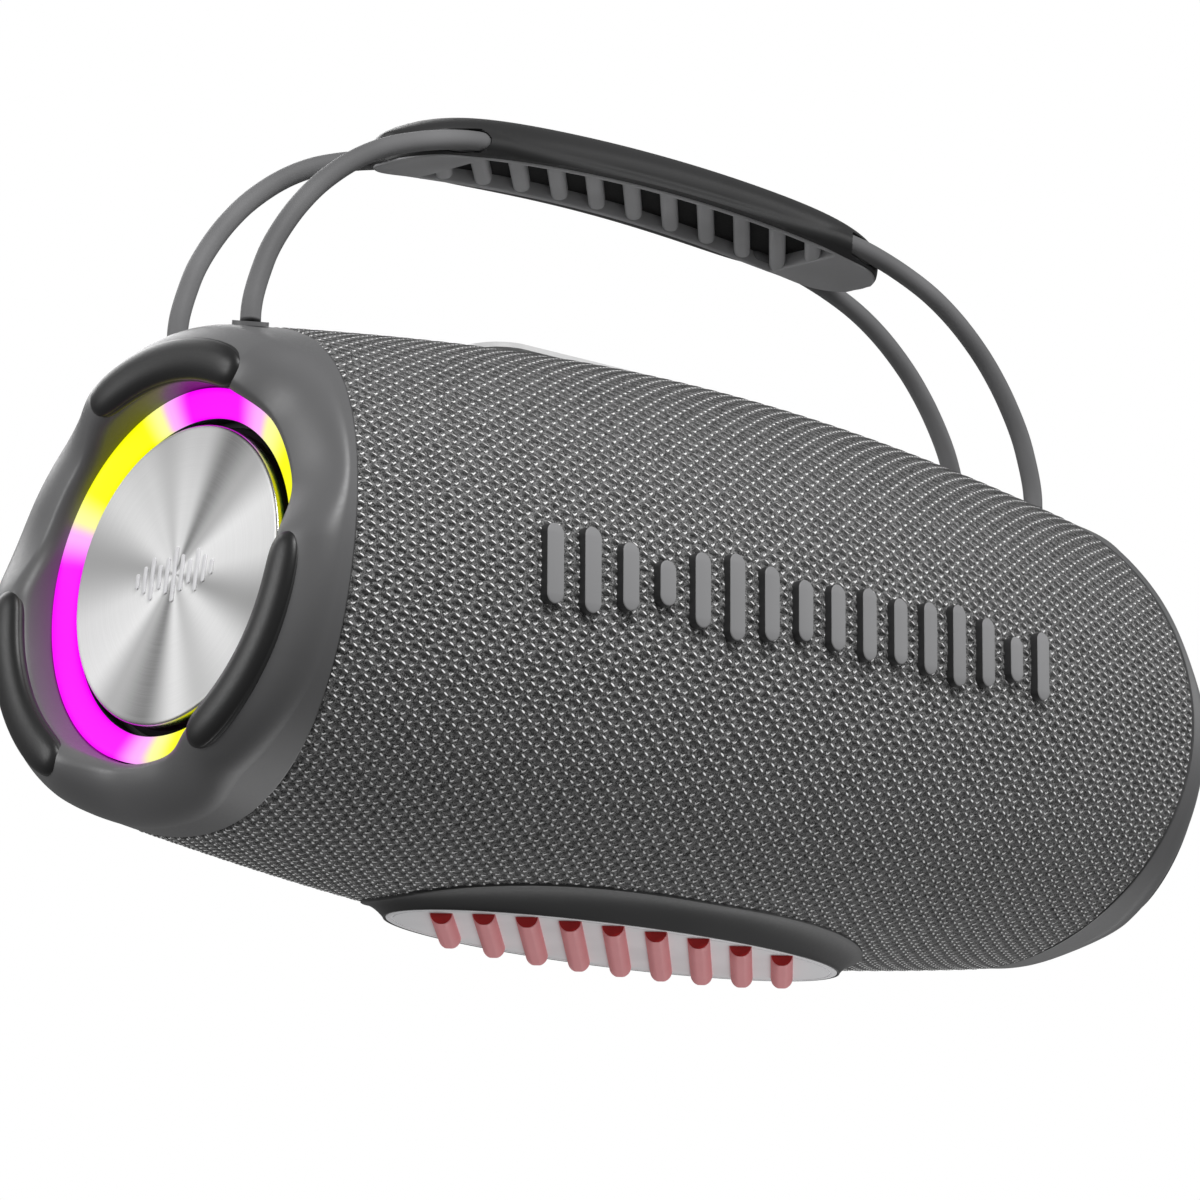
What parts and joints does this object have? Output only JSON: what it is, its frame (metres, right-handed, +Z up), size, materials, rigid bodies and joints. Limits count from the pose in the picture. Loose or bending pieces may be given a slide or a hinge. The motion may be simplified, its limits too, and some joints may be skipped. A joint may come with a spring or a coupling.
{
  "type": "party speaker",
  "caption": "Fabric-covered barrel party speaker with lit passive radiators in its ends, a grip hung on cords and a ribbed foot.",
  "frame": {"origin": "centre of the plane that the foot's ribs rest on, under the middle of the barrel", "axes": "+X along the barrel towards its right end, -Y out of the front where the badge is, +Z up through the handle"},
  "size_m": [0.427, 0.2061, 0.2725],
  "materials": {
    "cabinet_plastic": "moulded, hidden",
    "grille_fabric": "woven two-tone grille cloth",
    "badge_grey": "satin",
    "cap_grey": "soft-touch satin",
    "bumper_rubber": "satin",
    "light_diffuser": "frosted, lit from behind",
    "circuit_board": "solder mask",
    "surround_rubber": "matte",
    "radiator_metal": "radially brushed, polished bevel",
    "hub_plastic": "moulded",
    "basket_steel": "black paint",
    "magnet_steel": "plated",
    "cone_paper": "pressed pulp",
    "screw_steel": "zinc plated",
    "tweeter_silk": "coated silk",
    "battery_wrap": "shrink wrap",
    "heatsink_metal": "extruded",
    "panel_silver": "satin silver",
    "button_rubber": "satin",
    "port_plastic": "fine grain",
    "door_rubber": "satin",
    "socket_metal": "plated",
    "foot_housing_grey": "satin",
    "foot_plate_grey": "fine grain",
    "foot_red": "satin",
    "grommet_rubber": "satin",
    "anchor_steel": "turned",
    "cord_jacket": "fine speckled skin",
    "grip_rubber": "satin",
    "tray_grey": "satin",
    "core_steel": "pressed strip"
  },
  "bodies": {
    "root": {"front_cabinet": "cabinet_plastic", "rear_cabinet": "cabinet_plastic", "grille_sleeve": "grille_fabric", "badge": "badge_grey", "end_cap_left": "cap_grey", "end_cap_right": "cap_grey", "bumper_left_top": "bumper_rubber", "bumper_left_front": "bumper_rubber", "bumper_left_rear": "bumper_rubber", "bumper_right_top": "bumper_rubber", "bumper_right_front": "bumper_rubber", "bumper_right_rear": "bumper_rubber", "light_diffuser_left": "light_diffuser", "light_diffuser_right": "light_diffuser", "light_board_left": "circuit_board", "light_board_right": "circuit_board", "main_board": "circuit_board", "button_board": "circuit_board", "radiator_frame_left": "hub_plastic", "radiator_frame_right": "hub_plastic", "radiator_surround_left": "surround_rubber", "radiator_surround_right": "surround_rubber", "woofer_surround_left": "surround_rubber", "woofer_surround_right": "surround_rubber", "woofer_basket_left": "basket_steel", "woofer_basket_right": "basket_steel", "woofer_magnet_left": "magnet_steel", "woofer_magnet_right": "magnet_steel", "woofer_screws": "screw_steel", "tweeter": "tweeter_silk", "battery_pack": "battery_wrap", "amp_heatsink": "heatsink_metal", "control_panel": "panel_silver", "port_panel": "port_plastic", "socket_block": "socket_metal", "foot_housing": "foot_housing_grey", "foot_plate": "foot_plate_grey", "foot_ribs": "foot_red", "cord_grommets": "grommet_rubber", "cord_anchors": "anchor_steel"},
    "radiator_left": {"radiator_disc_left": "radiator_metal", "radiator_hub_left": "hub_plastic"},
    "radiator_right": {"radiator_disc_right": "radiator_metal", "radiator_hub_right": "hub_plastic"},
    "woofer_left": {"woofer_cone_left": "cone_paper"},
    "woofer_right": {"woofer_cone_right": "cone_paper"},
    "port_door": {"port_door": "door_rubber"},
    "handle": {"handle_cord_left_front": "cord_jacket", "handle_cord_left_rear": "cord_jacket", "handle_cord_right_front": "cord_jacket", "handle_cord_right_rear": "cord_jacket", "handle_grip": "grip_rubber", "handle_tray": "tray_grey", "handle_core": "core_steel"},
    "button_1": {"button_1": "button_rubber"},
    "button_2": {"button_2": "button_rubber"},
    "button_3": {"button_3": "button_rubber"},
    "button_4": {"button_4": "button_rubber"},
    "button_5": {"button_5": "button_rubber"},
    "button_6": {"button_6": "button_rubber"}
  },
  "joints": [
    {"name": "radiator_left_travel", "type": "slide", "parent": "root", "child": "radiator_left", "axis": [-0.9949, 0, 0.1011], "range_m": [-0.003, 0.003], "stiffness_N_per_m": 3000, "deforming": ["radiator_surround_left"]},
    {"name": "woofer_left_travel", "type": "slide", "parent": "root", "child": "woofer_left", "axis": [0, -1, 0], "range_m": [-0.002, 0.002], "stiffness_N_per_m": 2000, "deforming": ["woofer_surround_left"]},
    {"name": "radiator_right_travel", "type": "slide", "parent": "root", "child": "radiator_right", "axis": [0.9949, 0, 0.1011], "range_m": [-0.003, 0.003], "stiffness_N_per_m": 3000, "deforming": ["radiator_surround_right"]},
    {"name": "woofer_right_travel", "type": "slide", "parent": "root", "child": "woofer_right", "axis": [0, -1, 0], "range_m": [-0.002, 0.002], "stiffness_N_per_m": 2000, "deforming": ["woofer_surround_right"]},
    {"name": "button_1_press", "type": "slide", "parent": "root", "child": "button_1", "axis": [0, -0.0523, -0.9986], "range_m": [0, 0.0012], "stiffness_N_per_m": 800},
    {"name": "button_2_press", "type": "slide", "parent": "root", "child": "button_2", "axis": [0, -0.0523, -0.9986], "range_m": [0, 0.0012], "stiffness_N_per_m": 800},
    {"name": "button_3_press", "type": "slide", "parent": "root", "child": "button_3", "axis": [0, -0.0523, -0.9986], "range_m": [0, 0.0012], "stiffness_N_per_m": 800},
    {"name": "button_4_press", "type": "slide", "parent": "root", "child": "button_4", "axis": [0, -0.0523, -0.9986], "range_m": [0, 0.0012], "stiffness_N_per_m": 800},
    {"name": "button_5_press", "type": "slide", "parent": "root", "child": "button_5", "axis": [0, -0.0523, -0.9986], "range_m": [0, 0.0012], "stiffness_N_per_m": 800},
    {"name": "button_6_press", "type": "slide", "parent": "root", "child": "button_6", "axis": [0, -0.0523, -0.9986], "range_m": [0, 0.0012], "stiffness_N_per_m": 800},
    {"name": "port_door_hinge", "type": "hinge", "parent": "root", "child": "port_door", "pos_m": [0, 0.09174, 0.05689], "axis": [-1, 0, 0], "range_deg": [0, 95], "stiffness_Nm_per_rad": 0.02},
    {"name": "handle_sway", "type": "slide", "parent": "root", "child": "handle", "axis": [0, 1, 0], "range_m": [-0.015, 0.015], "stiffness_N_per_m": 300, "deforming": ["handle_cord_left_front", "handle_cord_left_rear", "handle_cord_right_front", "handle_cord_right_rear"]}
  ]
}
